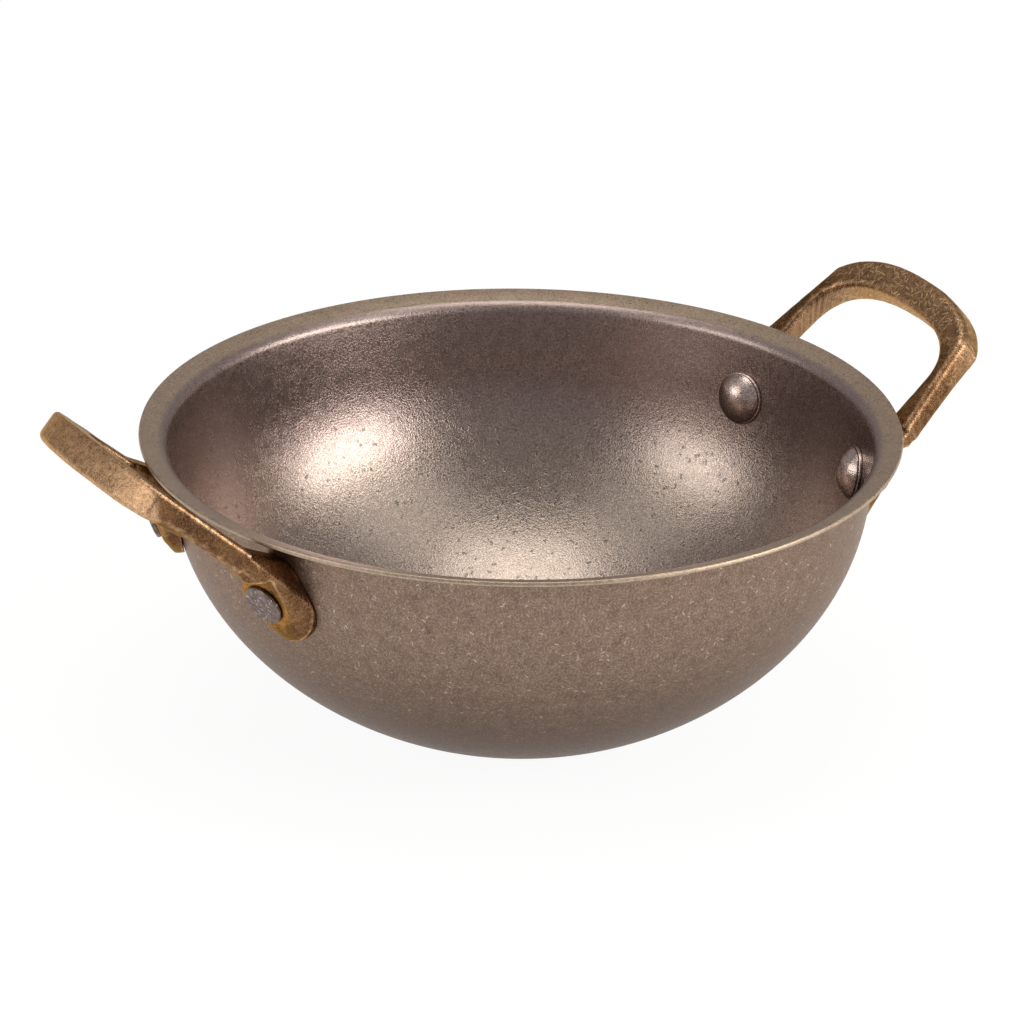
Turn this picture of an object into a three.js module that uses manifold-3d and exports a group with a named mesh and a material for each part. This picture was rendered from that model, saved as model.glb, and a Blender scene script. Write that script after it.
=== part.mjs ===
// A small two-handled serving wok: a spun steel pan, two cast brass loop handles and four solid rivets.
// Millimetres, +Z up. The flat of the base is on Z = 0 and the handles point along +X and -X.
import * as THREE from "three";
import { ConvexGeometry } from "three/addons/geometries/ConvexGeometry.js";
import { mergeVertices } from "three/addons/utils/BufferGeometryUtils.js";
import Module from "manifold-3d";

const wasm = await Module();
wasm.setup();
const radians = THREE.MathUtils.degToRad;
const halfTurn = [0, 0, 180];
const weld = 1e-4; // corners closer than this are one

// Fits between the pieces
const seatGap = 0.3; // between a piece and the surface it lies on
const holeGap = 0.3; // all round a rivet in its hole

// Pan: one sheet, spun to a steep wall and a lip that flares out
const sheet = 1;
const rimRadius = 80; // outside edge of the lip
const panDepth = 64; // flat of the base to the top of the lip's edge
const lipWidth = 7; // the lip's edge, out from the wall at the rivets
const wallRadius = rimRadius - lipWidth; // outside of the wall at the rivets
const baseRadius = 21; // flat that the pan stands on
const wallDrop = 15; // the wall is straight down to here, measured from the rim
const wallLean = radians(9); // the wall leans out by this
const wallPull = 33.5; // how far the wall runs on down before it turns in
const basePull = 10; // how far the base runs on out before it turns up
const lipSlope = radians(17); // rise of the lip, above level
const lipBend = 1.8; // radius on the underside, where the wall turns into the lip

// Handle loop: a flat bar bent in a plane that climbs outward and meets the rim's edge circle.
// Distances called out run up that plane from the rim, and across is to one side of its middle line.
const loopSlope = radians(41);
const loopReach = 25.2; // out to the crown's outer edge
const crownWidth = 7.2; // bar width at the crown
const crownThickness = 6.3;
const legThickness = 3.9;
const legEnd = 7; // the leg runs to here, below the rim, and its foot takes over
const spreadEnd = 2; // the leg starts to spread into its foot here, below the rim
const legOuter = 29.1; // outer edge of a leg across from the middle, at the rim
const legInner = 23.5; // inner edge of a leg, at the rim
const cornerOut = 16.5; // the straight outer edge of a leg ends in a corner here
const cornerAcross = 25.4;
const cornerTurn = radians(36); // the crown leaves the corner at this angle to the loop's middle line
const cornerPull = 6.5; // how far it holds that direction
const outerCrown = 13.5; // pull of the crown's outer edge
const innerOut = 5; // the inner edge of a leg is straight up to here
const innerPull = 10; // how far it holds that direction
const innerCrown = 13; // pull of the crown's inner edge
const barRound = 1.3; // rounding of the bar's edges

// Handle feet: each leg spreads to a round pad on the wall, with a sloping face for the rivet
const rivetTurn = radians(19); // each rivet, round from the handle's middle line
const rivetDrop = wallDrop; // rivet below the rim
const padRadius = 7.2; // against the wall
const padShift = 2; // the pad's middle, outward of the rivet
const padSink = 1.7; // the pad's middle, below the rivet
const faceRadius = 5.6;
const faceSlope = radians(22); // the face looks out and down
const faceOut = 4.6; // middle of the face, out from the wall
const faceRound = 0.8; // bevel round the face
const spotGap = 0.7; // clear room round the peened end, cut square to the face

// Rivets: a shank through the wall and foot, a dome inside on a washer and a peened end on the pad's face
const shankRadius = 3.1;
const domeRadius = 5.6;
const domeHeight = 2.3;
const domeEdge = 0.4; // straight edge under the dome
const washerRadius = 6.2;
const washerThickness = 1.2; // at its middle
const washerRound = 0.3; // bevel round its top
const peenRadius = 4.3;
const peenHeight = 0.9;
const peenRound = 0.3; // bevel round the peened end

// How finely curves are cut
const panFacets = 80;
const sideFacets = 12;
const bendFacets = 5;
const crownFacets = 11;
const roundFacets = 2;
const rivetFacets = 20;
const domeFacets = 5;
const padFacets = 24;

const panSteel = new THREE.MeshStandardMaterial({ color: 0x75665e, roughness: 0.42, metalness: 1 });
const castBrass = new THREE.MeshStandardMaterial({ color: 0x8c6539, roughness: 0.5, metalness: 1 });
const rivetSteel = new THREE.MeshStandardMaterial({ color: 0x5d5552, roughness: 0.4, metalness: 1 });

// Closed surface to solid
function solidOf(geometry) {
  const bare = geometry.index ? geometry.toNonIndexed() : geometry.clone();
  bare.deleteAttribute("normal");
  bare.deleteAttribute("uv");
  const merged = mergeVertices(bare, weld);
  const mesh = new wasm.Mesh({
    numProp: 3,
    vertProperties: new Float32Array(merged.attributes.position.array),
    triVerts: new Uint32Array(merged.index.array),
  });
  return new wasm.Manifold(mesh);
}

// Solid back to a surface
function surfaceOf(solid) {
  const mesh = solid.getMesh();
  const geometry = new THREE.BufferGeometry();
  geometry.setAttribute("position", new THREE.BufferAttribute(mesh.vertProperties, mesh.numProp));
  geometry.setIndex(new THREE.BufferAttribute(mesh.triVerts, 1));
  return geometry;
}

// A profile of radius and height, turned about Z. It starts and ends on the axis, outside first.
function turned(profile, facets) {
  return new THREE.LatheGeometry(profile, facets).rotateX(Math.PI / 2);
}

// The pan's outer skin from the axis to the lip's edge, moved inward by a depth
function panSkin(depth) {
  const wallTop = new THREE.Vector2(wallRadius, panDepth - wallDrop);
  const side = new THREE.CubicBezierCurve(
    new THREE.Vector2(baseRadius, 0),
    new THREE.Vector2(baseRadius + basePull, 0),
    wallTop.clone().addScaledVector(upWall(), -wallPull),
    wallTop,
  );
  const along = new THREE.Vector2(Math.cos(lipSlope), Math.sin(lipSlope));
  const inward = new THREE.Vector2(-along.y, along.x);
  const edge = new THREE.Vector2(rimRadius, panDepth).addScaledVector(inward, depth - sheet);
  edge.x = rimRadius + inward.x * depth;
  const bendMiddle = lipBendMiddle();
  const skin = [new THREE.Vector2(0, depth)];
  for (let i = 0; i <= sideFacets; i++) {
    const tangent = side.getTangent(i / sideFacets);
    const normal = new THREE.Vector2(-tangent.y, tangent.x);
    skin.push(side.getPoint(i / sideFacets).addScaledVector(normal, depth));
  }
  for (let i = 0; i <= bendFacets; i++) {
    const turn = Math.PI - wallLean - ((Math.PI / 2 - lipSlope - wallLean) * i) / bendFacets;
    const spoke = new THREE.Vector2(Math.cos(turn), Math.sin(turn));
    skin.push(bendMiddle.clone().addScaledVector(spoke, lipBend + depth));
  }
  skin.push(edge);
  return skin;
}

// Direction up the straight part of the wall
function upWall() {
  return new THREE.Vector2(Math.sin(wallLean), Math.cos(wallLean));
}

// Middle of the bend between the wall and the lip, as far from the one as from the other
function lipBendMiddle() {
  const offWall = new THREE.Vector2(Math.cos(wallLean), -Math.sin(wallLean));
  const offLip = new THREE.Vector2(Math.sin(lipSlope), -Math.cos(lipSlope));
  const edge = new THREE.Vector2(rimRadius, panDepth - sheet * Math.cos(lipSlope));
  const middle = new THREE.Vector2(wallRadius, panDepth - wallDrop).addScaledVector(offWall, lipBend);
  const climb = (middle.clone().sub(edge).dot(offLip) - lipBend) / Math.cos(lipSlope + wallLean);
  return middle.addScaledVector(upWall(), climb);
}

// Everything inside the pan's outer skin, grown by the seat gap, to trim what lies on the wall
function panRoom() {
  const skin = panSkin(-seatGap);
  const edge = skin[skin.length - 1];
  skin.push(new THREE.Vector2(edge.x, panDepth + rimRadius));
  skin.push(new THREE.Vector2(0, panDepth + rimRadius));
  return solidOf(turned(skin, panFacets));
}

// Places a piece drawn along +Z, with the wall's outside at its wallRadius, square to the wall at a rivet
function atRivet(geometry, side) {
  geometry.translate(0, 0, -wallRadius);
  geometry.rotateY(Math.PI / 2 + wallLean);
  geometry.translate(wallRadius, 0, panDepth - rivetDrop);
  return geometry.rotateZ(side * rivetTurn);
}

// A hole through the wall and foot for one rivet
function rivetHole(side) {
  const hole = new THREE.CylinderGeometry(
    shankRadius + holeGap,
    shankRadius + holeGap,
    rimRadius,
    rivetFacets,
  );
  hole.rotateX(Math.PI / 2);
  hole.translate(0, 0, rimRadius);
  return solidOf(atRivet(hole, side));
}

// The pan, with two holes on each side
function pan() {
  const inside = panSkin(sheet).reverse();
  const body = solidOf(turned([...panSkin(0), ...inside], panFacets));
  const pair = rivetHole(1).add(rivetHole(-1));
  return body.subtract(pair).subtract(pair.rotate(halfTurn));
}

// Outer edge of a leg, this far out
function outerEdge(out) {
  return THREE.MathUtils.mapLinear(out, 0, cornerOut, legOuter, cornerAcross);
}

// Half of the loop's outer edge, from the end of a leg by way of the corner to the crown
function outerHalf() {
  const corner = new THREE.Vector2(cornerAcross, cornerOut);
  const leave = new THREE.Vector2(-Math.sin(cornerTurn), Math.cos(cornerTurn));
  const crown = new THREE.CubicBezierCurve(
    corner,
    corner.clone().addScaledVector(leave, cornerPull),
    new THREE.Vector2(outerCrown, loopReach),
    new THREE.Vector2(0, loopReach),
  );
  return [new THREE.Vector2(outerEdge(-legEnd), -legEnd), ...crown.getPoints(crownFacets)];
}

// Half of its inner edge, which turns in one sweep
function innerHalf() {
  const reach = loopReach - crownWidth;
  const sweep = new THREE.CubicBezierCurve(
    new THREE.Vector2(legInner, innerOut),
    new THREE.Vector2(legInner, innerOut + innerPull),
    new THREE.Vector2(innerCrown, reach),
    new THREE.Vector2(0, reach),
  );
  return [new THREE.Vector2(legInner, -legEnd), ...sweep.getPoints(crownFacets)];
}

// The loop's plan: up one outer edge, over the crown and down the other, then back along the inner edge
function loopPlan() {
  const flip = (p) => new THREE.Vector2(-p.x, p.y);
  const outer = outerHalf();
  const inner = innerHalf();
  const over = [...outer, ...outer.slice(0, -1).reverse().map(flip)];
  const back = [...inner.map(flip), ...inner.slice(0, -1).reverse()];
  return new THREE.Shape([...over, ...back]);
}

// The loop's plane: across, up its slope and out of its top face, with its start on the rim's edge
function loopPlane() {
  const up = new THREE.Vector3(Math.cos(loopSlope), 0, Math.sin(loopSlope));
  const normal = new THREE.Vector3(-Math.sin(loopSlope), 0, Math.cos(loopSlope));
  const plane = new THREE.Matrix4().makeBasis(new THREE.Vector3(0, -1, 0), up, normal);
  return plane.setPosition(rimRadius, 0, panDepth);
}

// The bar: the loop's plan given its thickness, more at the crown than at the legs
function loopBar() {
  const bar = new THREE.ExtrudeGeometry(loopPlan(), {
    depth: crownThickness - 2 * barRound,
    bevelThickness: barRound,
    bevelSize: barRound,
    bevelOffset: -barRound,
    bevelSegments: roundFacets,
    steps: 1,
  });
  bar.translate(0, 0, barRound - crownThickness);
  const place = bar.attributes.position;
  for (let i = 0; i < place.count; i++) {
    const share = THREE.MathUtils.smoothstep(place.getY(i), -legEnd, loopReach);
    const thickness = THREE.MathUtils.lerp(legThickness, crownThickness, share);
    place.setZ(i, (place.getZ(i) * thickness) / crownThickness);
  }
  return solidOf(bar.applyMatrix4(loopPlane()));
}

// Points round a leg where it starts to spread
function legSection(side) {
  const plane = loopPlane();
  const points = [];
  for (const [inset, bevel] of [
    [barRound, 0],
    [0, barRound],
  ]) {
    for (const across of [legInner + inset, outerEdge(-spreadEnd) - inset]) {
      points.push(new THREE.Vector3(-side * across, -spreadEnd, -bevel));
      points.push(new THREE.Vector3(-side * across, -spreadEnd, bevel - legThickness));
    }
  }
  return points.map((point) => point.applyMatrix4(plane));
}

// A ring of points about the rivet's line: distance out from the axis, across the foot and up
function ring(side, radius, out, shift, sink, slope) {
  return Array.from({ length: padFacets }, (_, i) => {
    const turn = (2 * Math.PI * i) / padFacets;
    const up = radius * Math.sin(turn);
    const point = new THREE.Vector3();
    point.x = out + up * Math.sin(slope);
    point.y = side * (shift + radius * Math.cos(turn));
    point.z = panDepth - rivetDrop - sink + up * Math.cos(slope);
    return point.applyAxisAngle(new THREE.Vector3(0, 0, 1), side * rivetTurn);
  });
}

// One foot: the leg spread to a round pad on the wall, and the pad drawn in to the rivet's sloping face
function foot(side) {
  const bevelIn = faceRound * Math.cos(faceSlope);
  const bevelDown = faceRound * Math.sin(faceSlope);
  const face = wallRadius + faceOut;
  const base = [
    ...ring(side, padRadius, wallRadius - padRadius, padShift, padSink, 0),
    ...ring(side, padRadius, wallRadius + seatGap, padShift, padSink, 0),
  ];
  const seat = [
    ...ring(side, faceRadius, face - bevelIn, 0, -bevelDown, faceSlope),
    ...ring(side, faceRadius - faceRound, face, 0, 0, faceSlope),
  ];
  const spread = solidOf(new ConvexGeometry([...base, ...legSection(side)]));
  return spread.add(solidOf(new ConvexGeometry([...base, ...seat])));
}

// Places a piece drawn along +Z on a pad's face, pointing out of it
function onFace(geometry, side) {
  geometry.rotateY(Math.PI / 2 + faceSlope);
  geometry.translate(wallRadius + faceOut, 0, panDepth - rivetDrop);
  return solidOf(geometry.rotateZ(side * rivetTurn));
}

// The room over a pad's face, from a height above it, where the peened end sits
function faceRoom(side, height) {
  const radius = peenRadius + spotGap;
  const room = new THREE.CylinderGeometry(radius, radius, rimRadius, padFacets);
  room.rotateX(Math.PI / 2);
  room.translate(0, 0, height + rimRadius / 2);
  return onFace(room, side);
}

// A whole handle on the +X side: the bar and its two feet, trimmed to the wall, spot-faced and drilled
function handle() {
  let casting = loopBar().add(foot(1)).add(foot(-1));
  casting = casting.subtract(panRoom());
  for (const side of [1, -1]) {
    casting = casting.subtract(faceRoom(side, 0));
    casting = casting.subtract(rivetHole(side));
  }
  return casting;
}

// The room inside the pan, less the seat gap, to trim what lies against the inside of the wall
function panHollow() {
  const skin = panSkin(sheet + seatGap);
  const edge = skin[skin.length - 1];
  skin.push(new THREE.Vector2(0, edge.y));
  return solidOf(turned(skin, panFacets));
}

// Where the dome's underside is, on top of its washer
function headSeat() {
  return wallRadius - sheet - 2 * seatGap - washerThickness;
}

// The dome inside the pan: a cap on a short straight edge
function dome(side) {
  const ball = (domeRadius ** 2 + domeHeight ** 2) / (2 * domeHeight);
  const spread = Math.asin(domeRadius / ball);
  const top = headSeat() - domeEdge - domeHeight;
  const profile = [];
  for (let i = 0; i <= domeFacets; i++) {
    const turn = (spread * i) / domeFacets;
    profile.push(new THREE.Vector2(ball * Math.sin(turn), top + ball * (1 - Math.cos(turn))));
  }
  profile.push(new THREE.Vector2(domeRadius, headSeat()));
  profile.push(new THREE.Vector2(0, headSeat()));
  return solidOf(atRivet(turned(profile, rivetFacets), side));
}

// The washer under a dome: a disc with a bevelled top, bedded to the wall's own curve
function washer(side) {
  const top = headSeat() + seatGap;
  const profile = [
    new THREE.Vector2(0, top),
    new THREE.Vector2(washerRadius - washerRound, top),
    new THREE.Vector2(washerRadius, top + washerRound),
    new THREE.Vector2(washerRadius, wallRadius),
    new THREE.Vector2(0, wallRadius),
  ];
  const disc = solidOf(atRivet(turned(profile, rivetFacets), side));
  return disc.intersect(panHollow()).subtract(rivetHole(side));
}

// One rivet on the +X side, its shank ending inside the dome and inside the peened end
function rivet(side) {
  const start = headSeat() - domeEdge;
  const length = wallRadius + faceOut + peenRadius - start;
  const shank = new THREE.CylinderGeometry(shankRadius, shankRadius, length, rivetFacets);
  shank.rotateX(Math.PI / 2);
  shank.translate(0, 0, start + length / 2);
  const end = faceRoom(side, (seatGap + peenHeight) / 2);
  return solidOf(atRivet(shank, side)).subtract(end).add(dome(side)).add(peen(side));
}

// The peened end: a flat disc lying on the pad's sloping face
function peen(side) {
  const profile = [
    new THREE.Vector2(0, seatGap),
    new THREE.Vector2(peenRadius, seatGap),
    new THREE.Vector2(peenRadius, peenHeight - peenRound),
    new THREE.Vector2(peenRadius - peenRound, peenHeight),
    new THREE.Vector2(0, peenHeight),
  ];
  return onFace(turned(profile, rivetFacets), side);
}

function addPiece(group, name, solid, material) {
  const mesh = new THREE.Mesh(surfaceOf(solid), material);
  mesh.name = name;
  group.add(mesh);
}

const wok = new THREE.Group();
wok.name = "wok";
addPiece(wok, "pan", pan(), panSteel);
const casting = handle();
addPiece(wok, "handle_right", casting, castBrass);
addPiece(wok, "handle_left", casting.rotate(halfTurn), castBrass);
for (const [place, side] of [
  ["back", 1],
  ["front", -1],
]) {
  addPiece(wok, `rivet_right_${place}`, rivet(side), rivetSteel);
  addPiece(wok, `washer_right_${place}`, washer(side), rivetSteel);
  addPiece(wok, `rivet_left_${place}`, rivet(-side).rotate(halfTurn), rivetSteel);
  addPiece(wok, `washer_left_${place}`, washer(-side).rotate(halfTurn), rivetSteel);
}

export default wok;
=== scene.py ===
"""Looks of a small two-handled serving wok: a spun steel pan, cast brass loop handles and solid rivets.

Sizes are in millimetres, and become metres where a mesh is made.
"""

import logging
import math
from dataclasses import dataclass, field, replace
from enum import Enum
from types import MappingProxyType
from typing import Any, Mapping, Optional, Sequence, Union

import bmesh
import bpy
import numpy as np
from mathutils import Matrix, Vector, noise


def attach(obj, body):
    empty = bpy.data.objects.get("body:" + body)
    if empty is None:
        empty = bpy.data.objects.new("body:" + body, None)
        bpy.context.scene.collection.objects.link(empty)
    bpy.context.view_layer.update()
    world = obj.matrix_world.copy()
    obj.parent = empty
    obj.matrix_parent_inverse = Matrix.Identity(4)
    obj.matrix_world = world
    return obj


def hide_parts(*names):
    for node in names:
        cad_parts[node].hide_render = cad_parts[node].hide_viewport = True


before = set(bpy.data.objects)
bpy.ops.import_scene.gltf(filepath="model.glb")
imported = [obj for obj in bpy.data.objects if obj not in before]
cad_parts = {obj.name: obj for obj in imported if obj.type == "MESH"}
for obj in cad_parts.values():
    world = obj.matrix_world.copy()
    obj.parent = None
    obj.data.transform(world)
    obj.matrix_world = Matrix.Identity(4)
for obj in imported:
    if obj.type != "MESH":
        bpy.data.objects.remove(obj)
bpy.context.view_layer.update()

log = logging.getLogger("wok")
MM = 0.001
BODY = "root"
Profile = list[tuple[float, float]]
Colour = tuple[float, float, float]
NOTHING: Mapping[str, Any] = MappingProxyType({})


class Side(Enum):
    """The two ends of the pan that carry a handle, as a turn about Z from +X."""

    RIGHT = 0.0
    LEFT = math.pi


class Leg(Enum):
    """The two legs of a handle, as the sign of Y on the right handle."""

    LEADING = 1
    TRAILING = -1


# Meshes


def ease(value: float, low: float, high: float) -> float:
    """Eases from 0 at low to 1 at high.

    Args:
        value: the number to place between low and high.
        low: where the result is still 0.
        high: where the result has reached 1.

    Returns:
        The eased share.
    """
    share = min(max((value - low) / (high - low), 0.0), 1.0)
    return share * share * (3 - 2 * share)


def bezier(a: Vector, b: Vector, c: Vector, d: Vector, count: int) -> list[Vector]:
    """Samples a cubic curve evenly in its own measure.

    Args:
        a: start of the curve.
        b: pull at the start.
        c: pull at the end.
        d: end of the curve.
        count: number of spans.

    Returns:
        One more point than there are spans.
    """
    points = []
    for i in range(count + 1):
        t = i / count
        u = 1 - t
        points.append(a * u**3 + b * (3 * u * u * t) + c * (3 * u * t * t) + d * t**3)
    return points


def new_piece(name: str, points: Sequence[Vector], faces: Sequence[Sequence[int]]) -> bpy.types.Object:
    """Makes an object from points in millimetres.

    Args:
        name: name of the object.
        points: corners, in millimetres.
        faces: corner numbers of each face.

    Returns:
        The object, linked to the scene, with its faces turned outward.
    """
    mesh = bpy.data.meshes.new(name)
    mesh.from_pydata([tuple(p * MM) for p in points], [], faces)
    tidy = bmesh.new()
    tidy.from_mesh(mesh)
    bmesh.ops.recalc_face_normals(tidy, faces=tidy.faces)
    tidy.to_mesh(mesh)
    tidy.free()
    piece = bpy.data.objects.new(name, mesh)
    bpy.context.scene.collection.objects.link(piece)
    return piece


def turned(name: str, profile: Profile, steps: int) -> bpy.types.Object:
    """Turns a profile about Z.

    Args:
        name: name of the object.
        profile: radius and height, from the axis back to the axis.
        steps: corners in each ring.

    Returns:
        A closed turned piece.
    """
    points: list[Vector] = []
    rings: list[list[int]] = []
    for radius, height in profile:
        count = steps if radius > 1e-6 else 1
        rings.append(list(range(len(points), len(points) + count)))
        for i in range(count):
            turn = math.tau * i / count
            points.append(Vector((radius * math.cos(turn), radius * math.sin(turn), height)))
    faces: list[list[int]] = []
    for lower, upper in zip(rings, rings[1:]):
        for i in range(steps):
            j = (i + 1) % steps
            corners = [lower[i % len(lower)], lower[j % len(lower)], upper[j % len(upper)], upper[i % len(upper)]]
            face = list(dict.fromkeys(corners))
            if len(face) > 2:
                faces.append(face)
    return new_piece(name, points, faces)


def hull(name: str, points: Sequence[Vector]) -> bpy.types.Object:
    """Wraps points in their convex hull.

    Args:
        name: name of the object.
        points: the points, in millimetres.

    Returns:
        The closed hull.
    """
    piece = new_piece(name, points, [])
    shell = bmesh.new()
    shell.from_mesh(piece.data)
    made = bmesh.ops.convex_hull(shell, input=shell.verts)
    bmesh.ops.delete(shell, geom=list(set(made["geom_interior"])), context="VERTS")
    bmesh.ops.recalc_face_normals(shell, faces=shell.faces)
    shell.to_mesh(piece.data)
    shell.free()
    return piece


def settle(piece: bpy.types.Object) -> None:
    """Makes the piece's modifiers part of its mesh.

    Args:
        piece: the piece to settle.
    """
    graph = bpy.context.evaluated_depsgraph_get()
    mesh = bpy.data.meshes.new_from_object(piece.evaluated_get(graph))
    piece.modifiers.clear()
    old = piece.data
    piece.data = mesh
    bpy.data.meshes.remove(old)


def drop(*pieces: bpy.types.Object) -> None:
    """Deletes helper pieces and their meshes.

    Args:
        *pieces: the pieces to delete.
    """
    for piece in pieces:
        mesh = piece.data
        bpy.data.objects.remove(piece)
        bpy.data.meshes.remove(mesh)


def combine(piece: bpy.types.Object, others: Sequence[bpy.types.Object], operation: str) -> None:
    """Joins, cuts or trims a piece with others.

    Args:
        piece: the piece that changes.
        others: the pieces it is worked with.
        operation: UNION, DIFFERENCE or INTERSECT.
    """
    for other in others:
        step = piece.modifiers.new("work", "BOOLEAN")
        step.operation = operation
        step.solver = "MANIFOLD"
        step.object = other
    settle(piece)


def gather(name: str, pieces: Sequence[bpy.types.Object]) -> bpy.types.Object:
    """Puts the shells of several pieces in one mesh.

    Args:
        name: name of the new object.
        pieces: the pieces, which are deleted.

    Returns:
        The object with all shells.
    """
    shells = bmesh.new()
    for piece in pieces:
        shells.from_mesh(piece.data)
    mesh = bpy.data.meshes.new(name)
    shells.to_mesh(mesh)
    shells.free()
    drop(*pieces)
    whole = bpy.data.objects.new(name, mesh)
    bpy.context.scene.collection.objects.link(whole)
    return whole


def fuse(piece: bpy.types.Object, grain: float, passes: int) -> None:
    """Melts overlapping shells into one skin and softens its edges.

    Args:
        piece: the piece to fuse.
        grain: spacing of the new skin's corners, in millimetres.
        passes: how often the skin is smoothed.
    """
    remesh = piece.modifiers.new("fuse", "REMESH")
    remesh.mode = "VOXEL"
    remesh.voxel_size = grain * MM
    soften = piece.modifiers.new("soften", "SMOOTH")
    soften.factor = 0.5
    soften.iterations = passes
    settle(piece)


def corner_vectors(mesh: bpy.types.Mesh, name: str) -> np.ndarray:
    """Reads a vector of every corner of a mesh.

    Args:
        mesh: the mesh.
        name: what to read, co or normal.

    Returns:
        One row for each corner.
    """
    values = np.empty(len(mesh.vertices) * 3, dtype=np.float32)
    mesh.vertices.foreach_get(name, values)
    return values.reshape(-1, 3)


def shade(piece: bpy.types.Object, crease: Optional[float] = None) -> None:
    """Shades a piece smooth.

    Args:
        piece: the piece to shade.
        crease: edges sharper than this stay sharp, in degrees, or none for no sharp edges.
    """
    piece.data.shade_smooth()
    if crease is not None:
        piece.data.set_sharp_from_angle(angle=math.radians(crease))


def stand_for(piece: bpy.types.Object, node: str) -> None:
    """Puts a finished piece in the place of its solid.

    Args:
        piece: the finished piece.
        node: the solid that it stands for.
    """
    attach(piece, BODY)
    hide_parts(node)
    log.info("%s: %d faces in place of %s", piece.name, len(piece.data.polygons), node)


# Finishes


class Value:
    """A node's socket that takes part in Python expressions."""

    def __init__(self, shader: "Shader", socket: bpy.types.NodeSocket) -> None:
        """Keeps the socket and the shader that it belongs to."""
        self.shader = shader
        self.socket = socket

    def __add__(self, other: "Term") -> "Value":
        """Sum."""
        return self.shader.maths("ADD", self, other)

    def __radd__(self, other: "Term") -> "Value":
        """Sum, with a number first."""
        return self.shader.maths("ADD", other, self)

    def __sub__(self, other: "Term") -> "Value":
        """Difference."""
        return self.shader.maths("SUBTRACT", self, other)

    def __rsub__(self, other: "Term") -> "Value":
        """Difference, with a number first."""
        return self.shader.maths("SUBTRACT", other, self)

    def __mul__(self, other: "Term") -> "Value":
        """Product."""
        return self.shader.maths("MULTIPLY", self, other)

    def __rmul__(self, other: "Term") -> "Value":
        """Product, with a number first."""
        return self.shader.maths("MULTIPLY", other, self)

    def __abs__(self) -> "Value":
        """Size without sign."""
        return self.shader.maths("ABSOLUTE", self)

    def __gt__(self, other: "Term") -> "Value":
        """1 where the value is greater, else 0."""
        return self.shader.maths("GREATER_THAN", self, other)

    def most(self, other: "Term") -> "Value":
        """The greater of two values."""
        return self.shader.maths("MAXIMUM", self, other)

    def least(self, other: "Term") -> "Value":
        """The smaller of two values."""
        return self.shader.maths("MINIMUM", self, other)

    def rise(self, low: float, high: float) -> "Value":
        """Eases from 0 at low to 1 at high."""
        sockets = {"Value": self, "From Min": low, "From Max": high}
        return self.shader.node("ShaderNodeMapRange", {"interpolation_type": "SMOOTHSTEP"}, sockets)

    def fall(self, low: float, high: float) -> "Value":
        """Eases from 1 at low to 0 at high."""
        return 1 - self.rise(low, high)


Term = Union[Value, float]
Input = Union[Value, float, Sequence[float]]


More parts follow.
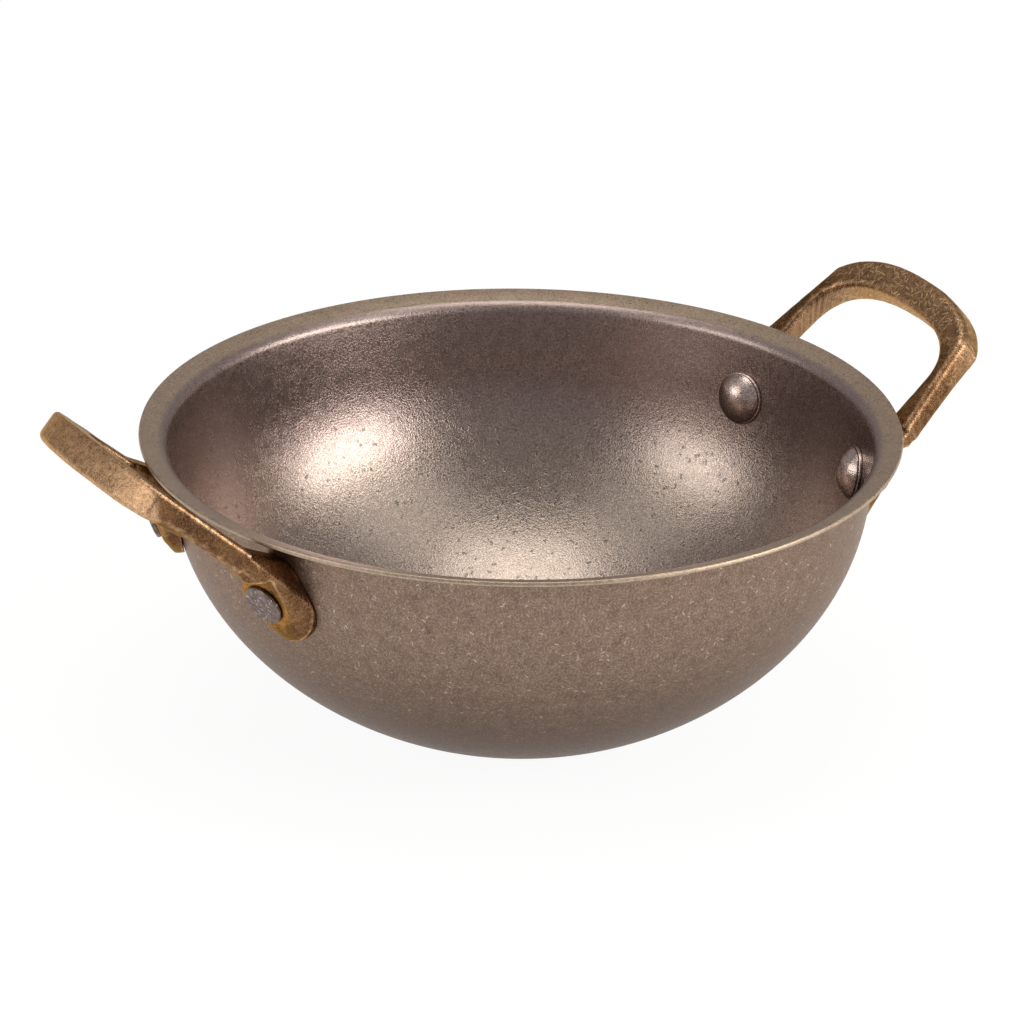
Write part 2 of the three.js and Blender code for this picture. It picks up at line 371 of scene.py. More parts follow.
class Shader:
    """A material's nodes, added one expression at a time."""

    def __init__(self, name: str) -> None:
        """Starts an empty material."""
        self.material = bpy.data.materials.new(name)
        self.material.use_nodes = True
        self.tree = self.material.node_tree
        self.tree.nodes.clear()

    @staticmethod
    def _find(sockets: Sequence[bpy.types.NodeSocket], name: str) -> bpy.types.NodeSocket:
        """Finds a socket by its identifier, or else by its name.

        Args:
            sockets: the sockets to look through.
            name: the identifier or name.

        Returns:
            The socket.
        """
        for socket in sockets:
            if socket.identifier == name:
                return socket
        return next(socket for socket in sockets if socket.name == name)

    def add(self, kind: str, settings: Mapping[str, Any], sockets: Mapping[str, Input]) -> bpy.types.Node:
        """Adds any node.

        Args:
            kind: type of the node.
            settings: its own settings, which are set first.
            sockets: values or links of its sockets, by name.

        Returns:
            The node.
        """
        node = self.tree.nodes.new(kind)
        for name, value in settings.items():
            setattr(node, name, value)
        for name, value in sockets.items():
            socket = self._find(node.inputs, name)
            if isinstance(value, Value):
                self.tree.links.new(value.socket, socket)
            elif isinstance(value, (int, float)):
                socket.default_value = value
            else:
                full = len(socket.default_value)
                socket.default_value = [*value, 1.0][:full]
        return node

    def node(
        self,
        kind: str,
        settings: Mapping[str, Any] = NOTHING,
        sockets: Mapping[str, Input] = NOTHING,
        output: Optional[str] = None,
    ) -> Value:
        """Adds any node and takes one of its outputs.

        Args:
            kind: type of the node.
            settings: its own settings.
            sockets: values or links of its sockets.
            output: name of the output, or none for the first.

        Returns:
            The output.
        """
        made = self.add(kind, settings, sockets)
        socket = made.outputs[0] if output is None else self._find(made.outputs, output)
        return Value(self, socket)

    def maths(self, operation: str, *terms: Term) -> Value:
        """A sum on numbers over the surface.

        Args:
            operation: what is done with the terms.
            *terms: the terms, in the order of the sum.

        Returns:
            The result.
        """
        sockets = dict(zip(("Value", "Value_001", "Value_002"), terms))
        return self.node("ShaderNodeMath", {"operation": operation}, sockets)

    def vector(self, operation: str, *terms: Input, output: str = "Vector") -> Value:
        """A sum on vectors over the surface.

        Args:
            operation: what is done with the terms.
            *terms: the terms, in the order of the sum.
            output: which of the results is taken.

        Returns:
            The result.
        """
        sockets = dict(zip(("Vector", "Vector_001", "Vector_002"), terms))
        return self.node("ShaderNodeVectorMath", {"operation": operation}, sockets, output)

    def blend(self, share: Term, first: Input, second: Input, mode: str = "MIX") -> Value:
        """Blends two colours.

        Args:
            share: how much of the second colour there is.
            first: the colour at a share of 0.
            second: the colour at a share of 1.
            mode: how the colours are blended.

        Returns:
            The blended colour.
        """
        settings = {"data_type": "RGBA", "blend_type": mode}
        sockets = {"Factor_Float": share, "A_Color": first, "B_Color": second}
        return self.node("ShaderNodeMix", settings, sockets, "Result_Color")

    def tinted(self, colour: Input, tone: Value) -> Value:
        """A colour made lighter or darker by a tone, where 1 leaves it as it is."""
        grey = self.node("ShaderNodeCombineXYZ", {}, {"X": tone, "Y": tone, "Z": tone})
        return self.blend(1.0, colour, grey, "MULTIPLY")

    def place(self) -> Value:
        """Where a point is, in metres, in the part's own frame."""
        return self.node("ShaderNodeTexCoord", output="Object")

    def facing(self) -> Value:
        """Which way the surface faces, without bumps."""
        return self.node("ShaderNodeNewGeometry", output="Normal")

    def cloud(self, place: Value, size: float, detail: float = 2.0, rough: float = 0.5) -> Value:
        """Soft random patches from 0 to 1.

        Args:
            place: where the point is.
            size: distance from one patch to the next, in millimetres.
            detail: number of finer layers.
            rough: how strong the finer layers are.

        Returns:
            The value of the patch.
        """
        sockets = {"Vector": place, "Scale": 1 / (size * MM), "Detail": detail, "Roughness": rough}
        return self.node("ShaderNodeTexNoise", {}, sockets, "Fac")

    def flecks(self, place: Value, facing: Value, style: "Fleck") -> Value:
        """Short scratches that lie every way.

        Args:
            place: where the point is.
            facing: which way the surface faces.
            style: size and number of the scratches.

        Returns:
            1 on a scratch and 0 beside it.
        """
        sway = self.add("ShaderNodeTexNoise", {}, {"Vector": place, "Scale": 1 / (style.sway_size * MM)})
        shift = self.vector("SUBTRACT", Value(self, sway.outputs["Color"]), (0.5, 0.5, 0.5))
        bent = self.vector("MULTIPLY_ADD", shift, [style.sway * MM] * 3, place)
        cells = self.add("ShaderNodeTexVoronoi", {}, {"Vector": bent, "Scale": 1 / (style.spacing * MM)})
        offset = self.vector("SUBTRACT", bent, Value(self, cells.outputs["Position"]))
        chance = Value(self, cells.outputs["Color"])
        turn = self.vector("SUBTRACT", chance, (0.5, 0.5, 0.5))
        across = self.vector("NORMALIZE", self.vector("CROSS_PRODUCT", facing, turn))
        off_line = abs(self.vector("DOT_PRODUCT", offset, across, output="Value"))
        reach = self.vector("LENGTH", offset, output="Value")
        lot = self.node("ShaderNodeSeparateXYZ", {}, {"Vector": chance}, "X")
        line = off_line.fall(style.width * 0.4 * MM, style.width * MM)
        short = reach.fall(style.length * 0.5 * MM, style.length * MM)
        return line * short * (lot > 1 - style.share)

    def finish(self, sockets: Mapping[str, Input], height: Value, depth: float) -> bpy.types.Material:
        """Closes the material with its surface.

        Args:
            sockets: values or links of the surface's sockets.
            height: how high the surface stands, from 0 to 1.
            depth: what a height of 1 measures, in millimetres.

        Returns:
            The finished material.
        """
        bump = self.node("ShaderNodeBump", {}, {"Strength": 1.0, "Distance": depth * MM, "Height": height})
        surface = self.node("ShaderNodeBsdfPrincipled", {}, {**sockets, "Normal": bump})
        self.add("ShaderNodeOutputMaterial", {}, {"Surface": surface})
        return self.material


@dataclass(frozen=True)
class Fleck:
    """One kind of short scratch, in millimetres."""

    spacing: float
    width: float
    length: float
    share: float
    sway: float = 0.5
    sway_size: float = 2.0


@dataclass(frozen=True)
class TumbledSteel:
    """The pan's finish: brown-grey steel, tumbled to a fine felt-like grain with light flecks, and darkened toward
    the bottom of the outside as painted shade.
    """

    outer: Colour = (0.25, 0.17, 0.126)
    # painted shade: the dark colour that the outside fades to near the bottom, standing for the shadowed floor
    # that it reflects
    outer_painted_shade: Colour = (0.068, 0.043, 0.035)
    inner: Colour = (0.3, 0.226, 0.21)
    inner_low: Colour = (0.318, 0.252, 0.213)
    lip: Colour = (0.48, 0.36, 0.255)
    edge: Colour = (0.45, 0.4, 0.35)
    fleck: Colour = (0.62, 0.52, 0.42)
    grazing: Colour = (0.86, 0.79, 0.74)
    fibre: Fleck = Fleck(0.75, 0.14, 0.55, 0.8)
    bold: Fleck = Fleck(1.5, 0.17, 0.65, 0.35)
    pit: Fleck = Fleck(1.7, 0.32, 0.75, 0.5)
    # heights where the painted shade on the outside is full and where it has gone; the flecks also thin out below
    # them
    low_start: float = 4.0
    low_end: float = 52.0
    patch_sway: float = 14.0
    inner_start: float = 22.0
    inner_end: float = 48.0
    pit_start: float = 30.0
    pit_end: float = 54.0
    patch_size: float = 26.0
    blot_size: float = 2.6
    peel_size: float = 1.1
    felt_size: float = 0.36
    skin_blend: float = 2.0
    lip_blend: float = 0.8
    bend_reach: float = 2.5
    edge_start: float = 0.55
    edge_end: float = 0.3
    metallic: float = 0.92
    coat_roughness: float = 0.23
    coat_ior: float = 1.6
    bump: float = 0.026

    def material(self, middle: float, lip_start: float, rim: float) -> bpy.types.Material:
        """Makes the material.

        Args:
            middle: height of the point that the bowl curves about, in millimetres.
            lip_start: radius where the lip begins.
            rim: radius of the lip's edge.

        Returns:
            The material.
        """
        s = Shader("tumbled_steel")
        place = s.place()
        facing = s.facing()
        spoke = s.vector("SUBTRACT", place, (0, 0, middle * MM))
        blend = self.skin_blend * MM
        inside = s.vector("DOT_PRODUCT", facing, spoke, output="Value").fall(-blend, blend)
        radius = s.vector("LENGTH", s.vector("MULTIPLY", place, (1, 1, 0)), output="Value")
        height = s.node("ShaderNodeSeparateXYZ", {}, {"Vector": place}, "Z")
        lip = radius.rise((lip_start - self.lip_blend) * MM, (lip_start + self.lip_blend) * MM)
        edge = radius.rise((rim - self.edge_start) * MM, (rim - self.edge_end) * MM)
        bend = radius.rise((lip_start - self.bend_reach) * MM, (lip_start - self.lip_blend) * MM)
        patch = s.cloud(place, self.patch_size, 3).rise(0.3, 0.7)
        blot = s.cloud(place, self.blot_size, 4, 0.6)
        peel = s.cloud(place, self.peel_size, 2)
        felt = s.cloud(place, self.felt_size, 2, 0.6).rise(0.3, 0.7)
        fibre = s.flecks(place, facing, self.fibre)
        bold = s.flecks(place, facing, self.bold)
        deep = height.fall(self.pit_start * MM, self.pit_end * MM)
        pit = s.flecks(place, facing, self.pit) * blot.rise(0.4, 0.6) * inside * deep
        # painted shade: below low_end the outside fades to a much darker colour, standing for the shadowed floor
        # that it reflects
        high = height.rise(self.low_start * MM, self.low_end * MM)
        outer = s.blend(high, self.outer_painted_shade, self.outer)
        climb = height + (patch - 0.5) * (self.patch_sway * MM)
        inner = s.blend(climb.rise(self.inner_start * MM, self.inner_end * MM), self.inner_low, self.inner)
        colour = s.blend(inside, outer, inner)
        colour = s.blend(lip, colour, self.lip)
        outside = 1 - inside
        tone = 0.65 + 0.52 * felt + 0.18 * blot + (blot - 0.5) * outside * 0.7
        colour = s.tinted(colour, tone)
        open_side = outside.most(lip)
        sparse = blot.rise(0.35, 0.65) * open_side * high
        felted = (0.05 + 0.24 * blot + 0.1 * open_side) * inside.most(0.25 + 0.75 * high)
        light = (fibre * felted).most(bold * (0.06 + 0.9 * sparse))
        colour = s.blend(light, colour, self.fleck)
        colour = s.tinted(colour, 1 - 0.5 * pit)
        colour = s.blend(edge * 0.2, colour, self.edge)
        rough = 0.215 + 0.14 * (felt - 0.5) + 0.17 * (blot - 0.5) + 0.2 * outside.most(bend * 0.7)
        uneven = 0.6 + inside * (0.25 + 0.2 * blot.rise(0.38, 0.62))
        relief = felt * uneven + 0.5 * blot + 1.2 * peel * inside - 2 * pit
        sockets = {
            "Base Color": colour,
            "Roughness": rough,
            "Metallic": self.metallic,
            "Specular Tint": self.grazing,
            "Coat Weight": inside * (0.2 + 0.6 * felt),
            "Coat Roughness": self.coat_roughness,
            "Coat IOR": self.coat_ior,
        }
        return s.finish(sockets, relief, self.bump)


@dataclass(frozen=True)
class Wear:
    """How worn a handle is: shares, and where its rubbed part starts and is full, outward of the finger gap; that
    part is partly wear and partly painted light, lighter than the legs.
    """

    filing: float
    rub_and_sheen: float
    rub_and_sheen_start: float
    rub_and_sheen_end: float
    scratching_and_glint: float


@dataclass(frozen=True)
class CastBrass:
    """The handles' finish: dark patina, rubbed bright along the edges and scratched all over; the curly scratches
    carry painted glints, and the crown is painted lighter than the legs, partly as wear and partly as painted
    light.
    """

    patina: Colour = (0.125, 0.061, 0.029)
    warm: Colour = (0.215, 0.11, 0.048)
    worn: Colour = (0.74, 0.47, 0.28)
    # bright: near-white colour of the curly scratches, a painted glint that stands for their raised edges catching
    # the light
    bright: Colour = (0.95, 0.66, 0.35)
    grazing: Colour = (0.85, 0.66, 0.44)
    soot: Colour = (0.06, 0.032, 0.016)
    rust: Colour = (0.46, 0.22, 0.055)
    fine: Fleck = Fleck(0.6, 0.11, 0.5, 0.7, 1.0, 0.8)
    bold: Fleck = Fleck(1.3, 0.22, 1.1, 0.65, 0.9, 1.1)
    rust_start: float = 4.2
    rust_end: float = 7.4
    free_start: float = 10.0
    soot_width: float = 1.0
    line_radius: float = 16.0
    line_size: float = 0.45
    patch_size: float = 6.0
    blot_size: float = 1.5
    felt_size: float = 0.34
    bump: float = 0.05

    def material(self, name: str, gap: Vector, wear: Wear, rivets: Sequence[Vector]) -> bpy.types.Material:
        """Makes the material.

        Args:
            name: name of the material.
            gap: middle of the finger gap, which the filed faces look at, in millimetres.
            wear: how worn the handle is.
            rivets: middles of the rivets' faces, in millimetres.

        Returns:
            The material.
        """
        s = Shader(name)
        place = s.place()
        facing = s.facing()
        bulge = s.node("ShaderNodeAttribute", {"attribute_name": "bulge"}, {}, "Fac")
        inward = s.vector("NORMALIZE", s.vector("SUBTRACT", tuple(gap * MM), place))
        filed = s.vector("DOT_PRODUCT", facing, inward, output="Value").rise(0.5, 0.8)
        away = [s.vector("DISTANCE", place, tuple(spot * MM), output="Value") for spot in rivets]
        nearest = away[0].least(away[1])
        patch = s.cloud(place, self.patch_size, 4).rise(0.35, 0.68)
        blot = s.cloud(place, self.blot_size, 4, 0.6)
        felt = s.cloud(place, self.felt_size, 2, 0.6).rise(0.3, 0.7)
        fine = s.flecks(place, facing, self.fine)
        bold = s.flecks(place, facing, self.bold)
        free = nearest.rise(self.rust_start * MM, self.free_start * MM)
        corner = (bulge + 0.3 * (blot - 0.5)).rise(0.04, 0.3) * free
        hollow = bulge.fall(-0.3, -0.08)
        outward = tuple((gap * Vector((1, 1, 0))).normalized())
        fronting = s.vector("DOT_PRODUCT", facing, outward, output="Value").rise(0.3, 0.8)
        ring = nearest.fall(self.rust_start * 1.2 * MM, self.rust_end * MM) * (0.3 + 0.7 * blot.rise(0.25, 0.55))
        from_gap = s.vector("SUBTRACT", place, tuple(gap * MM))
        out = s.vector("DOT_PRODUCT", from_gap, outward, output="Value")
        # partly wear, partly painted light: outward of the finger gap the crown is blended to the worn colour, so
        # it shows lighter than the legs
        rubbed = out.rise(wear.rub_and_sheen_start * MM, wear.rub_and_sheen_end * MM)
        colour = s.blend(patch, self.patina, self.warm)
        colour = s.blend(rubbed * (0.2 + 0.8 * blot) * wear.rub_and_sheen, colour, self.worn)
        colour = s.blend(ring * fronting * 0.8, colour, self.rust)
        colour = s.tinted(colour, 0.4 + 0.7 * felt + 0.5 * blot)
        # real curly scratches, drawn in the bright colour as painted glints
        scratch_glint = bold * (0.4 + 0.6 * blot) * (0.15 + 0.85 * rubbed) * wear.scratching_and_glint
        colour = s.blend(fine * (0.04 + 0.25 * blot), colour, self.worn)
        colour = s.blend(scratch_glint, colour, self.bright)
        colour = s.blend(corner * (0.25 + 0.7 * blot), colour, self.worn)
        aside = s.node("ShaderNodeSeparateXYZ", {}, {"Vector": place}, "Y")
        round_gap = s.maths("ARCTAN2", aside, out) * (self.line_radius * MM)
        along = s.node("ShaderNodeCombineXYZ", {}, {"X": round_gap})
        lines = s.cloud(along, self.line_size, 3, 0.7).rise(0.35, 0.65)
        colour = s.blend(filed * (0.1 + 0.9 * lines) * wear.filing, colour, self.worn)
        colour = s.blend(hollow * 0.85, colour, self.soot)
        under_rivet = nearest.fall(self.rust_start * MM, (self.rust_start + self.soot_width) * MM)
        colour = s.blend(under_rivet * 0.8, colour, self.soot)
        rough = 0.34 + 0.16 * (felt - 0.5) + 0.15 * (blot - 0.5) - 0.08 * corner
        relief = 0.6 * felt + 0.6 * blot + 0.3 * scratch_glint + filed * lines
        sockets = {"Base Color": colour, "Roughness": rough, "Metallic": 1.0, "Specular Tint": self.grazing}
        return s.finish(sockets, relief, self.bump)


@dataclass(frozen=True)
class RivetSteel:
    """The rivets' finish: brown-grey steel, rubbed on the domes and bruised on the peened ends."""

    rubbed: Colour = (0.51, 0.405, 0.372)
    bruised: Colour = (0.19, 0.148, 0.138)
    bright: Colour = (0.7, 0.64, 0.6)
    grazing: Colour = (0.82, 0.72, 0.67)
    fine: Fleck = Fleck(0.9, 0.16, 0.5, 0.5)
    peen_blend: float = 1.0
    blot_size: float = 1.2
    felt_size: float = 0.36
    metallic: float = 0.95
    bump: float = 0.04

    def material(self, wall: float) -> bpy.types.Material:
        """Makes the material.

        Args:
            wall: radius of the pan's wall, which the domes lie inside, in millimetres.

        Returns:
            The material.
        """
        s = Shader("rivet_steel")
        place = s.place()
        facing = s.facing()
        radius = s.vector("LENGTH", s.vector("MULTIPLY", place, (1, 1, 0)), output="Value")
        peened = radius.rise(wall * MM, (wall + self.peen_blend) * MM)
        blot = s.cloud(place, self.blot_size, 4, 0.6)
        felt = s.cloud(place, self.felt_size, 2, 0.6).rise(0.3, 0.7)
        fine = s.flecks(place, facing, self.fine)
        colour = s.blend(peened, self.rubbed, self.bruised)
        colour = s.tinted(colour, 0.35 + 0.6 * felt + 0.7 * blot + 1.4 * peened * (blot - 0.5))
        colour = s.blend(fine * (0.08 + 0.9 * blot * peened), colour, self.bright)
        rough = 0.19 + 0.19 * peened + 0.15 * (felt - 0.5)
        relief = 0.5 * felt + blot * (0.2 + 1.6 * peened)
        sockets = {
            "Base Color": colour,
            "Roughness": rough,
            "Metallic": self.metallic,
            "Specular Tint": self.grazing,
        }
        return s.finish(sockets, relief, self.bump)


@dataclass(frozen=True)
class PaleFloor:
    """The floor: a plain pale sheet that keeps a faint shadow."""

    tone: float = 0.78
    glow: float = 1.06
    share: float = 0.88

    def material(self) -> bpy.types.Material:
        """Makes the material: white to the eye and in reflections, pale to the light it gives back.

        Returns:
            The material.
        """
        s = Shader("pale_floor")
        path = s.add("ShaderNodeLightPath", {}, {})
        seen = Value(s, path.outputs["Is Camera Ray"])
        for name in ("Is Glossy Ray", "Is Transmission Ray"):
            seen = seen.most(Value(s, path.outputs[name]))
        grain = s.cloud(s.place(), 40, 2)
        tint = s.blend(grain, [self.tone] * 3, [self.tone * 1.02] * 3)
        matt = s.node("ShaderNodeBsdfDiffuse", {}, {"Color": tint})
        white = s.node("ShaderNodeEmission", {}, {"Color": (1, 1, 1), "Strength": self.glow})
        both = s.node("ShaderNodeMixShader", {}, {"Fac": seen * self.share, "Shader": matt, "Shader_001": white})
        s.add("ShaderNodeOutputMaterial", {}, {"Surface": both})
        return s.material


# Pieces


@dataclass
class Pan:
    """The bowl: one sheet, spun to a steep wall and a lip that flares out."""

    sheet: float = 1.0
    rim_radius: float = 80.0
    depth: float = 64.0
    wall_radius: float = 73.0
    base_radius: float = 21.0
    wall_drop: float = 15.0
    wall_lean: float = math.radians(9)
    wall_pull: float = 33.5
    base_pull: float = 10.0
    lip_slope: float = math.radians(17)
    lip_bend: float = 1.8
    edge_round: float = 0.34
    seat_gap: float = 0.16
    side_steps: int = 44
    bend_steps: int = 10
    round_steps: int = 5
    steps: int = 256
    trim_steps: int = 160
    crease: float = 50.0
    curve_above: float = 6.0
    finish: TumbledSteel = field(default_factory=TumbledSteel)

    def along_lip(self) -> Vector:
        """Direction outward along the lip, as radius and height."""
        return Vector((math.cos(self.lip_slope), math.sin(self.lip_slope)))

    def up_wall(self) -> Vector:
        """Direction up the straight part of the wall, as radius and height."""
        return Vector((math.sin(self.wall_lean), math.cos(self.wall_lean)))

    def bend_middle(self) -> Vector:
        """Finds the middle of the bend, as far from the wall as from the lip.

        Returns:
            Its radius and height.
        """
        off_wall = Vector((math.cos(self.wall_lean), -math.sin(self.wall_lean)))
        off_lip = Vector((math.sin(self.lip_slope), -math.cos(self.lip_slope)))
        edge = Vector((self.rim_radius, self.depth - self.sheet * math.cos(self.lip_slope)))
        middle = Vector((self.wall_radius, self.depth - self.wall_drop)) + off_wall * self.lip_bend
        climb = ((middle - edge).dot(off_lip) - self.lip_bend) / math.cos(self.lip_slope + self.wall_lean)
        return middle + self.up_wall() * climb

    def skin(self, depth: float) -> Profile:
        """The outer skin from the axis to the lip's edge, moved inward.

        Args:
            depth: how far inward, in millimetres.

        Returns:
            The skin's profile.
        """
        wall_top = Vector((self.wall_radius, self.depth - self.wall_drop))
        side = bezier(
            Vector((self.base_radius, 0)),
            Vector((self.base_radius + self.base_pull, 0)),
            wall_top - self.up_wall() * self.wall_pull,
            wall_top,
            self.side_steps,
        )
        points = [Vector((0, depth)), Vector((self.base_radius * 0.5, depth))]
        for i, point in enumerate(side):
            before = side[i - 1] if i else point - Vector((1, 0))
            after = side[i + 1] if i < self.side_steps else point + self.up_wall()
            run = (after - before).normalized()
            points.append(point + Vector((-run.y, run.x)) * depth)
        middle = self.bend_middle()
        for i in range(self.bend_steps + 1):
            swing = math.pi / 2 - self.lip_slope - self.wall_lean
            turn = math.pi - self.wall_lean - swing * i / self.bend_steps
            points.append(middle + Vector((math.cos(turn), math.sin(turn))) * (self.lip_bend + depth))
        along = self.along_lip()
        inward = Vector((-along.y, along.x))
        edge = Vector((self.rim_radius, self.depth)) + inward * (depth - self.sheet)
        edge.x = self.rim_radius + inward.x * depth
        points.append(edge)
        return [tuple(p) for p in points]

    def outline(self) -> Profile:
        """The whole section of the sheet, with its edge rounded over.

        Returns:
            The section, from the axis outside to the axis inside.
        """
        outer = self.skin(0)
        inner = self.skin(self.sheet)
        along = self.along_lip()
        inward = Vector((-along.y, along.x))
        turn_in = self.edge_round
        under = Vector(outer[-1]) - along * turn_in + inward * turn_in
        over = Vector(inner[-1]) - along * turn_in - inward * turn_in
        edge: Profile = []
        for middle, start in ((under, -math.pi / 2), (over, 0.0)):
            for i in range(self.round_steps + 1):
                turn = start + math.pi / 2 * i / self.round_steps
                spot = middle + along * (turn_in * math.cos(turn)) + inward * (turn_in * math.sin(turn))
                edge.append(tuple(spot))
        return [*outer[:-1], *edge, *reversed(inner[:-1])]

    def room(self) -> bpy.types.Object:
        """Everything inside the outer skin, a seat gap larger, to trim what lies on the wall.

        Returns:
            The room.
        """
        skin = self.skin(-self.seat_gap)
        top = self.depth + self.rim_radius
        return turned("pan_room", [*skin, (skin[-1][0], top), (0, top)], self.trim_steps)

    def hollow(self, gap: float) -> bpy.types.Object:
        """The room inside the pan, smaller by a gap, to trim what lies against the wall."""
        skin = self.skin(self.sheet + gap)
        return turned("pan_hollow", [*skin, (0, skin[-1][1])], self.trim_steps)

    def build(self, holes: Sequence[bpy.types.Object]) -> bpy.types.Object:
        """Makes the pan, with its rivet holes.

        Args:
            holes: what the rivet holes are cut with.

        Returns:
            The finished pan.
        """
        piece = turned("wok_pan", self.outline(), self.steps)
        combine(piece, holes, "DIFFERENCE")
        shade(piece, self.crease)
        lip_start = self.bend_middle().x - self.sheet
        middle = self.depth + self.curve_above
        piece.data.materials.clear()
        piece.data.materials.append(self.finish.material(middle, lip_start, self.rim_radius))
        return piece


@dataclass
class Rivets:
    """The four rivets: a dome inside the wall on a washer, a shank and a peened end on the foot's face."""

    pan: Pan
    turn: float = math.radians(19)
    drop: float = 15.0
    face_slope: float = math.radians(22)
    face_out: float = 4.6
    face_room: float = 9.0
    shank_radius: float = 3.1
    hole_gap: float = 0.3
    dome_radius: float = 5.4
    dome_height: float = 2.7
    dome_edge: float = 0.3
    washer_radius: float = 5.7
    washer_thickness: float = 0.7
    washer_round: float = 0.25
    bed_gap: float = 0.12
    peen_radius: float = 4.5
    peen_height: float = 1.0
    peen_round: float = 0.3
    dent_depth: float = 0.14
    dent_low: float = 0.2
    dent_grain: float = 0.4
    dent_seed: float = 0.02
    squeeze_share: float = 0.02
    squeeze_grain: float = 1.7
    squeeze_seed: float = 3.0
    steps: int = 64
    dome_steps: int = 14
    washer_steps: int = 4
    peen_rings: int = 9
    crease: float = 38.0
    finish: RivetSteel = field(default_factory=RivetSteel)

    def at_rivet(self, leg: Leg) -> Matrix:
        """Takes what is drawn along +Z, with the wall's outside at its radius, square to the wall.

        Args:
            leg: which leg of the right handle the rivet holds.

        Returns:
            The place of the rivet.
        """
        wall = self.pan.wall_radius
        to_wall = Matrix.Translation(Vector((0, 0, -wall)) * MM)
        tip = Matrix.Rotation(math.pi / 2 + self.pan.wall_lean, 4, "Y")
        spot = Matrix.Translation(Vector((wall, 0, self.pan.depth - self.drop)) * MM)
        return Matrix.Rotation(leg.value * self.turn, 4, "Z") @ spot @ tip @ to_wall

    def on_face(self, leg: Leg) -> Matrix:
        """Takes what is drawn along +Z to a foot's sloping face, pointing out of it.

        Args:
            leg: which leg of the right handle the foot is on.

        Returns:
            The place of the face.
        """
        spot = Vector((self.pan.wall_radius + self.face_out, 0, self.pan.depth - self.drop)) * MM
        tip = Matrix.Rotation(math.pi / 2 + self.face_slope, 4, "Y")
        return Matrix.Rotation(leg.value * self.turn, 4, "Z") @ Matrix.Translation(spot) @ tip

    def rod(self, name: str, radius: float, start: float, end: float, where: Matrix) -> bpy.types.Object:
        """A plain round bar, for shanks and cuts.

        Args:
            name: name of the object.
            radius: its radius.
            start: where it starts along its own line.
            end: where it ends.
            where: what takes its line to its place.

        Returns:
            The bar.
        """
        piece = turned(name, [(0, start), (radius, start), (radius, end), (0, end)], self.steps)
        piece.data.transform(where)
        return piece

    def hole(self, leg: Leg) -> bpy.types.Object:
        """What a rivet's hole is cut with, on the right-hand side.

        Args:
            leg: which leg the rivet holds.

        Returns:
            The cutter.
        """
        reach = self.pan.rim_radius
        radius = self.shank_radius + self.hole_gap
        return self.rod("rivet_hole", radius, reach / 2, reach * 1.5, self.at_rivet(leg))

    def holes(self) -> list[bpy.types.Object]:
        """What all four holes in the pan are cut with.

        Returns:
            The cutters, in their places.
        """
        made: list[bpy.types.Object] = []
        for side in Side:
            for leg in Leg:
                cutter = self.hole(leg)
                cutter.data.transform(Matrix.Rotation(side.value, 4, "Z"))
                made.append(cutter)
        return made

    def over_face(self, leg: Leg, height: float) -> bpy.types.Object:
        """The room over a foot's face, from a height above it."""
        return self.rod("face_room", self.face_room, height, height + self.pan.rim_radius, self.on_face(leg))

    def head_seat(self) -> float:
        """Where the dome's underside is, on top of its washer."""
        return self.pan.wall_radius - self.pan.sheet - 2 * self.bed_gap - self.washer_thickness

    def dome(self, leg: Leg) -> bpy.types.Object:
        """The dome inside the pan: a cap on a short straight edge.

        Args:
            leg: which leg of the right handle the rivet holds.

        Returns:
            The dome.
        """
        ball = (self.dome_radius**2 + self.dome_height**2) / (2 * self.dome_height)
        spread = math.asin(self.dome_radius / ball)
        seat = self.head_seat()
        top = seat - self.dome_edge - self.dome_height
        profile: Profile = []
        for i in range(self.dome_steps + 1):
            turn = spread * i / self.dome_steps
            profile.append((ball * math.sin(turn), top + ball * (1 - math.cos(turn))))
        profile += [(self.dome_radius, seat), (0, seat)]
        piece = turned("rivet_dome", profile, self.steps)
        piece.data.transform(self.at_rivet(leg))
        return piece

    def washer(self, name: str, leg: Leg, side: Side) -> bpy.types.Object:
        """The washer under a dome: a disc with a rounded top, bedded to the wall's own curve.

        Args:
            name: name of the piece.
            leg: which leg its rivet holds.
            side: which handle the leg is on.

        Returns:
            The finished washer.
        """
        top = self.head_seat() + self.bed_gap
        wall = self.pan.wall_radius
        profile: Profile = [(0, top)]
        for i in range(self.washer_steps + 1):
            turn = math.pi / 2 * i / self.washer_steps
            inset = self.washer_round * (1 - math.sin(turn))
            profile.append((self.washer_radius - inset, top + self.washer_round * (1 - math.cos(turn))))
        profile += [(self.washer_radius, wall), (0, wall)]
        piece = turned(name, profile, self.steps)
        piece.data.transform(self.at_rivet(leg))
        hollow = self.pan.hollow(self.bed_gap)
        hole = self.hole(leg)
        combine(piece, [hollow], "INTERSECT")
        combine(piece, [hole], "DIFFERENCE")
        drop(hollow, hole)
        piece.data.transform(Matrix.Rotation(side.value, 4, "Z"))
        shade(piece, self.crease)
        return piece

    def peen(self, leg: Leg) -> bpy.types.Object:
        """The peened end: a hammered disc with an uneven top and edge.

        Args:
            leg: which leg the rivet holds.

        Returns:
            The disc, on the face of its foot.
        """
        gap = self.pan.seat_gap
        shoulder = self.peen_height - self.peen_round
        profile: Profile = [(0, gap), (self.peen_radius, gap), (self.peen_radius, shoulder)]
        inner = self.peen_radius - self.peen_round
        profile += [(inner * (1 - i / self.peen_rings), self.peen_height) for i in range(self.peen_rings)]
        profile.append((0, self.peen_height))
        piece = turned("rivet_peen", profile, self.steps)
        for vertex in piece.data.vertices:
            spot = Vector((vertex.co.x, vertex.co.y, leg.value * self.dent_seed)) / MM
            if vertex.co.z > gap * 1.2 * MM:
                dent = noise.noise(spot * self.dent_grain) - self.dent_low
                vertex.co.z += self.dent_depth * MM * dent
            around = spot.normalized() * self.squeeze_grain + Vector((0, 0, leg.value * self.squeeze_seed))
            squeeze = 1 + self.squeeze_share * noise.noise(around)
            vertex.co.x *= squeeze
            vertex.co.y *= squeeze
        piece.data.transform(self.on_face(leg))
        return piece

